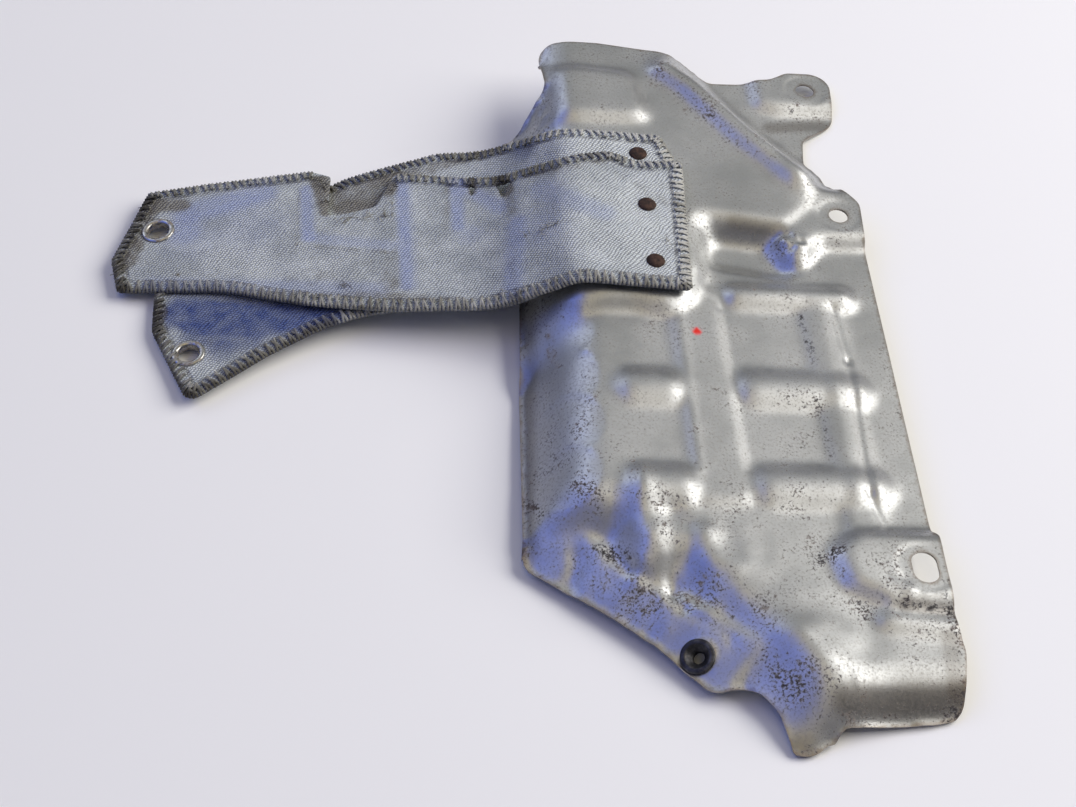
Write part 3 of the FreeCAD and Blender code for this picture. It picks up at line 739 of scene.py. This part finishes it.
# sags, folds and thin edges; the cloth is held at its eyelet and rivets, and lies flat where it is covered
def layCloth(form, sheet, caster, sewnRim, unrolled, cover):
    rimLayer = sheet.verts.layers.float.new("rim")
    weave = sheet.loops.layers.uv.new("weave")
    sewnTree = treeOf(sewnRim)
    folds = [(seenAt(caster, x1, y1), seenAt(caster, x2, y2), wide * mm, rise * mm)
             for x1, y1, x2, y2, wide, rise in form["folds"]]
    folds = [fold for fold in folds if fold[0] and fold[1]]
    pins = [mounts[form["eyelet"]][0]] + [middleOf(node) for node in form["rivets"]]
    still, free = [far * mm for far in clothLay["held"]]
    lifts = []
    for vert, far in zip(sheet.verts, rimDistance(sheet)):
        vert[rimLayer] = sewnTree.find(vert.co)[2] / mm
        hold = min(smoothStep(still, free, (vert.co - pin).xy.length) for pin in pins)
        swell = clothLay["swell"] + ripple(vert.co, clothLay["wave"], form["sag"])
        swell += clothLay["fineShare"] * ripple(vert.co, clothLay["fineWave"], 3.0)
        lift = form["sag"] * mm * max(swell, 0)
        for a, b, wide, rise in folds:
            lift += rise * math.exp(-(lineDistance(vert.co, a, b) / wide) ** 2)
        if cover:
            coverTop, coverRim = cover
            if coverTop.ray_cast(vert.co - down * overhead, down)[0]:
                lift = 0
            else:
                lift *= smoothStep(0, clothLay["underEase"] * mm, coverRim.find(vert.co.xy.to_3d())[2])
        dip = clothLay["rimDip"] * mm * (1 - smoothStep(0, clothLay["rimWide"] * mm, far))
        lifts.append(lift * hold - dip)
    for vert, lift in zip(sheet.verts, lifts):
        for corner in vert.link_loops:
            corner[weave].uv = (unrolled(vert.co.x), vert.co.y)
        vert.co.z += lift


# bars of thread over the edge, leaning to one side and the other in turn
def overlockBars(form, bars, edgeLoop, ground):
    path = [Vector(place) * mm for place in overlock["path"]]
    bar = threadMesh("overlockBar", path, overlock["thread"] * mm)
    spots = evenly(edgeLoop, overlock["pitch"])
    for k, (before, here, after) in enumerate(zip(spots[-1:] + spots[:-1], spots, spots[1:] + spots[:1])):
        if isBare(form, here):
            continue
        normal = ground.find_nearest(here)[1]
        normal = normal if normal.z > 0 else -normal
        inward = normal.cross((after - before).normalized()).normalized()
        turn = Matrix((inward, normal.cross(inward), normal)).transposed().to_4x4()
        slant = overlock["lean"][k % 2] + dice.uniform(-overlock["sway"], overlock["sway"])
        reach = Matrix.Diagonal((dice.uniform(*overlock["reach"]), 1, 1, 1))
        foot = Matrix.Translation(here + normal * overlock["rise"] * mm)
        seat = foot @ turn @ (Matrix.Rotation(slant, 4, "Z") @ reach)
        bar.transform(seat)
        bars.from_mesh(bar)
        bar.transform(seat.inverted())


# loose fibres where the cloth is frayed, each a bent copy of one straight fibre
def frayedFibres(form, bars, ground):
    stations = [Vector((0, 0, t)) for t in looseFibre["stations"]]
    fibre = threadMesh("looseFibre", stations, 1.0, looseFibre["sides"])
    straight = [vert.co.copy() for vert in fibre.vertices]
    for x1, y1, x2, y2, count, length in form["frays"]:
        for _ in range(count):
            share = dice.random()
            ray = pixelRay(x1 + (x2 - x1) * share, y1 + (y2 - y1) * share)
            root = ground.ray_cast(eye, ray)[0] or ground.find_nearest(eye + ray * shot["distance"])[0]
            way = Vector((dice.uniform(-1, 1), dice.uniform(-1, 1), dice.uniform(0.0, 0.5))).normalized()
            curl = Vector((dice.uniform(-1, 1), dice.uniform(-1, 1), dice.uniform(-0.6, 0.2)))
            size = length * mm * dice.uniform(*looseFibre["length"])
            radius, turn = dice.uniform(*looseFibre["thin"]) * mm, way.to_track_quat("Z", "Y")
            for vert, (x, y, t) in zip(fibre.vertices, straight):
                bend = curl * (size * looseFibre["curl"] * t * t)
                vert.co = root + turn @ Vector((x * radius, y * radius, 0)) + way * (size * t) + bend
            bars.from_mesh(fibre)


def strapPiece(form, cover=None):
    bm = mergedCopy(form["node"])
    caster = BVHTree.FromBMesh(bm)
    skin = [f for f in bm.faces if f.normal.z > clothLay["facing"]]
    loops = sorted(rimLoops(skin), key=loopLength)
    unrolled = unrolling(skin)
    bm.free()
    drop = topOf(caster)
    for px, py, wide, tall in form["tears"]:
        loops.insert(0, tornRim(seenAt(caster, px, py), wide, tall, px, drop))
    sheet = evenSheet(loops[-1], loops[:-1], form["gap"], drop)
    for name in clothMarks:
        spotted(sheet, name, form[name], caster)
    sewnRim = [place for place in evenly(loops[-1], clothLay["sewnStep"] * mm) if not isBare(form, place)]
    layCloth(form, sheet, caster, sewnRim, unrolled, cover)
    sheet.normal_update()
    edgeLoop = max(rimLoops(sheet.faces), key=loopLength)
    ground = BVHTree.FromBMesh(sheet)
    bmesh.ops.solidify(sheet, geom=sheet.faces[:], thickness=form["thick"])
    twill = twillCloth(form["name"] + "Twill", form["paintedBlueTints"])
    piece = finishPiece(sheet, form["name"], twill, [form["node"]], sharp=60)

    bars = bmesh.new()
    overlockBars(form, bars, edgeLoop, ground)
    frayedFibres(form, bars, ground)
    for name in clothMarks:
        spotted(bars, name, form[name], caster)
    for vert in bars.verts:
        vert.co.z = max(vert.co.z, 0.0)
    thread = sewingThread(form["name"] + "Thread", form["paintedBlueTints"])
    sewn = finishPiece(bars, form["name"] + "Overlock", thread, [], sharp=70)
    print(form["name"], "done:", len(piece.data.polygons), len(sewn.data.polygons))
    return caster, treeOf([place.xy.to_3d() for place in edgeLoop])


upperCover = strapPiece(upperStrap)
strapPiece(lowerStrap, upperCover)


# turned pieces: a closed profile of radius and height in mm, spun round the piece's own axis
def closedProfile(bm, profile, lower=0.0):
    verts = [bm.verts.new((r * mm, 0, (z - lower) * mm)) for r, z in profile]
    return verts + [bm.edges.new(pair) for pair in zip(verts, verts[1:] + verts[:1])]


def turned(profile, seat, steps):
    bm = bmesh.new()
    bmesh.ops.spin(bm, geom=closedProfile(bm, profile), cent=(0, 0, 0), axis=(0, 0, 1), angle=math.tau,
                   steps=steps, use_merge=True)
    bmesh.ops.remove_doubles(bm, verts=bm.verts, dist=0.001 * mm)
    bmesh.ops.recalc_face_normals(bm, faces=bm.faces)
    bmesh.ops.transform(bm, matrix=seat, verts=bm.verts)
    return bm


def seatOn(place, axis):
    return Matrix.Translation(place) @ axis.to_track_quat("Z", "Y").to_matrix().to_4x4()


def platedMetal():
    plate = Finish("eyeletPlate")
    cloud = plate.mottle(420.0, 4.0, 0.65)
    fine = plate.mottle(1800.0, 2.0)
    rust = plate.band(cloud, 0.45, 0.66)
    base = plate.blend(rust * 0.75, (0.52, 0.51, 0.49), (0.15, 0.1, 0.065))
    return plate.set({"Base Color": base, "Metallic": 1.0 - rust * 0.7,
                      "Roughness": 0.24 + rust * 0.4 + fine * 0.08,
                      "Normal": plate.bump(cloud + fine * 0.3, 0.25, 0.0003)})


def rustySteel():
    rusty = Finish("rivetRust")
    cloud = rusty.mottle(500.0, 5.0, 0.7)
    fine = rusty.mottle(1600.0, 3.0)
    base = rusty.blend(rusty.band(cloud, 0.35, 0.65), (0.022, 0.013, 0.011), (0.075, 0.038, 0.026))
    base = rusty.blend(rusty.band(fine, 0.55, 0.75) * 0.5, base, (0.15, 0.1, 0.08))
    return rusty.set({"Base Color": base, "Metallic": 0.2, "Roughness": 0.65 + fine * 0.25,
                      "Normal": rusty.bump(cloud + fine * 0.5, 0.6, 0.0004)})


def darkSteel():
    dark = Finish("nutSteel")
    cloud = dark.mottle(300.0, 4.0, 0.6)
    fine = dark.mottle(1500.0, 3.0)
    base = dark.blend(dark.band(cloud, 0.4, 0.7), (0.04, 0.04, 0.045), (0.12, 0.12, 0.125))
    base = dark.blend(dark.band(fine, 0.58, 0.75) * 0.5, base, (0.16, 0.11, 0.08))
    return dark.set({"Base Color": base, "Metallic": 0.75, "Roughness": 0.35 + cloud * 0.25,
                     "Normal": dark.bump(fine, 0.3, 0.0003)})


# eyelets: rolled lip below, barrel and flange on top
eyelets = {"steps": 64, "profile": [
    (4.0, -1.2), (4.15, -1.5), (4.6, -1.65), (5.1, -1.6), (5.45, -1.3), (5.5, -0.95), (5.3, -0.87),
    (4.5, -0.86), (4.5, 0.86), (6.15, 0.86), (6.3, 1.0), (6.28, 1.22), (6.05, 1.48), (5.65, 1.63),
    (5.2, 1.65), (4.7, 1.6), (4.25, 1.36), (4.03, 0.95)]}
for form, name in ((upperStrap, "upperEyelet"), (lowerStrap, "lowerEyelet")):
    ring = turned(eyelets["profile"], seatOn(*mounts[form["eyelet"]]), eyelets["steps"])
    finishPiece(ring, name, platedMetal(), [name.replace("E", "_e")])

# rivets: worn heads on the cloth, and feet against the sheet's underside
rivets = {"steps": 40, "headRoom": 1.6, "shank": 2.0, "wear": 0.15, "wearSize": 0.002,
          "head": [(0.0, 1.34), (1.3, 1.31), (2.2, 1.16), (2.9, 0.82), (3.32, 0.4), (3.48, 0.12), (3.4, 0.0)],
          "foot": [(2.9, 0.0), (2.97, -0.25), (2.8, -0.75), (2.2, -1.02), (0.0, -1.12)]}
pressAxis = mounts["far_tab_hole"][1]
toPress = pressAxis.rotation_difference(Vector((0, 0, 1))).to_matrix()
rustFinish = rustySteel()
for node in ("strap_rivet_1", "strap_rivet_2", "strap_rivet_3"):
    cad = [toPress @ v.co for v in frame["nodes"][node].data.vertices]
    low = Vector([min(c[k] for c in cad) for k in range(3)])
    high = Vector([max(c[k] for c in cad) for k in range(3)])
    clothTop = high.z - rivets["headRoom"] * mm
    base = toPress.inverted() @ Vector(((low.x + high.x) / 2, (low.y + high.y) / 2, clothTop))
    footDeep = -rivets["foot"][-1][1]
    under = (low.z + footDeep * mm - clothTop) / mm
    profile = rivets["head"] + [(rivets["shank"], 0.0), (rivets["shank"], under)]
    profile += [(r, under + z) for r, z in rivets["foot"]]
    rivet = turned(profile, seatOn(base, pressAxis), rivets["steps"])
    for vert in rivet.verts:
        worn = [ripple(vert.co, rivets["wearSize"], seed) for seed in (base.y, 7.0)]
        vert.co += Vector(worn).to_3d() * rivets["wear"] * mm
    finishPiece(rivet, "strapRivet" + node[-1], rustFinish, [node])

# captive nut with a thread in its bore
clinchNut = {"steps": 64, "profile": [
    (2.5, -4.4), (4.3, -4.4), (4.5, -4.25), (4.75, -2.8), (5.25, -0.85), (4.5, -0.8), (4.5, 0.0), (5.85, 0.0),
    (6.0, 0.15), (6.0, 0.75), (5.85, 1.0), (5.4, 1.18), (4.5, 1.28), (4.25, 1.24), (4.0, 1.05), (2.95, -0.05),
    (2.5, -0.4)],
    "ridge": [(2.52, -0.35), (2.52, 0.35), (2.12, 0.0)], "lead": 1.0, "turns": 3.4, "start": 3.9,
    "turnSteps": 36}
place, axis = mounts["captive_nut"]
seat = seatOn(place + axis * nutRise * mm, axis)
nut = turned(clinchNut["profile"], seat, clinchNut["steps"])
thread = bmesh.new()
bmesh.ops.spin(thread, geom=closedProfile(thread, clinchNut["ridge"], clinchNut["start"]), cent=(0, 0, 0),
               axis=(0, 0, 1), dvec=(0, 0, clinchNut["lead"] * mm / clinchNut["turnSteps"]),
               angle=math.tau * clinchNut["turns"], steps=int(clinchNut["turns"] * clinchNut["turnSteps"]))
bmesh.ops.holes_fill(thread, edges=thread.edges, sides=3)
bmesh.ops.recalc_face_normals(thread, faces=thread.faces)
bmesh.ops.transform(thread, matrix=seat, verts=thread.verts)
nut.from_mesh(meshOf(thread, "nutThread"))
finishPiece(nut, "clinchNut", darkSteel(), ["clinch_nut"])
print("turned pieces done")


# pale floor, dim sky with what the metal mirrors, and a soft lamp
studio = {
    "floor": (0.9, 0.9, 0.9), "floorSize": 6.0, "floorDrop": 0.6 * mm,
    "low": (0.12, 0.12, 0.135), "dark": (0.08, 0.08, 0.09), "dusk": 0.35,
    "lamp": {"bearing": 82, "height": 38, "reach": 2.2, "size": (1.9, 1.5), "color": (1.0, 0.97, 0.92)},
    "powers": [("rightKey", 34, True), ("rightFill", 22, False)],  # the metal mirrors only the first
    # bright parts of the sky: bearing from the far side, height, half widths, colour
    "sky": [
        (0, 44, 0.6, 0.26, (0.385, 0.402, 0.395)), (60, 45, 0.4, 0.3, (0.28, 0.28, 0.28)),
        (-36, 38, 0.3, 0.24, (1.35, 1.45, 1.65)), (-125, 45, 0.5, 0.3, (0.13, 0.17, 0.5)),
        (-76, 50, 0.42, 0.42, (0.22, 0.31, 1.0)), (4, 98, 0.26, 0.56, (0.84, 0.72, 0.46)),
    ],
}
floorMesh = bmesh.new()
bmesh.ops.create_grid(floorMesh, x_segments=1, y_segments=1, size=studio["floorSize"])
bmesh.ops.translate(floorMesh, vec=down * studio["floorDrop"], verts=floorMesh.verts)
floor = linked("floor", meshOf(floorMesh, "floor"))
floor.data.materials.append(Finish("floorPaper").set({"Base Color": studio["floor"], "Roughness": 0.9}))


def bearingWay(bearing, height):
    turn, rise = math.radians(bearing), math.radians(height)
    return Vector((math.sin(turn) * math.cos(rise), math.cos(turn) * math.cos(rise), math.sin(rise)))


def softbox(name, power, mirrored, form):
    lamp = bpy.data.lights.new(name, "AREA")
    lamp.shape = "RECTANGLE"
    lamp.size, lamp.size_y = form["size"]
    lamp.energy, lamp.color = power, form["color"]
    way = bearingWay(form["bearing"], form["height"])
    box = linked(name, lamp)
    box.matrix_world = seatOn(way * form["reach"], way)
    box.visible_glossy = mirrored


for name, power, mirrored in studio["powers"]:
    softbox(name, power, mirrored, studio["lamp"])

bpy.context.scene.world = bpy.data.worlds.new("studio")
sky = Finish("studio", bpy.context.scene.world)
way = sky.add("TexCoord", give="Generated")
glow = sky.blend(sky.band(sky.part(way, "Z"), 0.0, studio["dusk"]), studio["low"], studio["dark"])
for bearing, height, wide, tall, color in studio["sky"]:
    near = sky.dot(way, bearingWay(bearing, height))
    sideways = sky.dot(way, bearingWay(bearing + 90, 0)) / wide
    upright = sky.dot(way, bearingWay(bearing, height + 90)) / tall
    inside = sky.band(sideways * sideways + upright * upright, 1.5, 0.4) * sky.band(near, 0.0, 0.2)
    glow = sky.blend(inside, glow, color)
sky.set({"Color": glow, "Strength": 1.0})
bpy.context.scene.view_settings.view_transform = "Standard"
print("studio set")
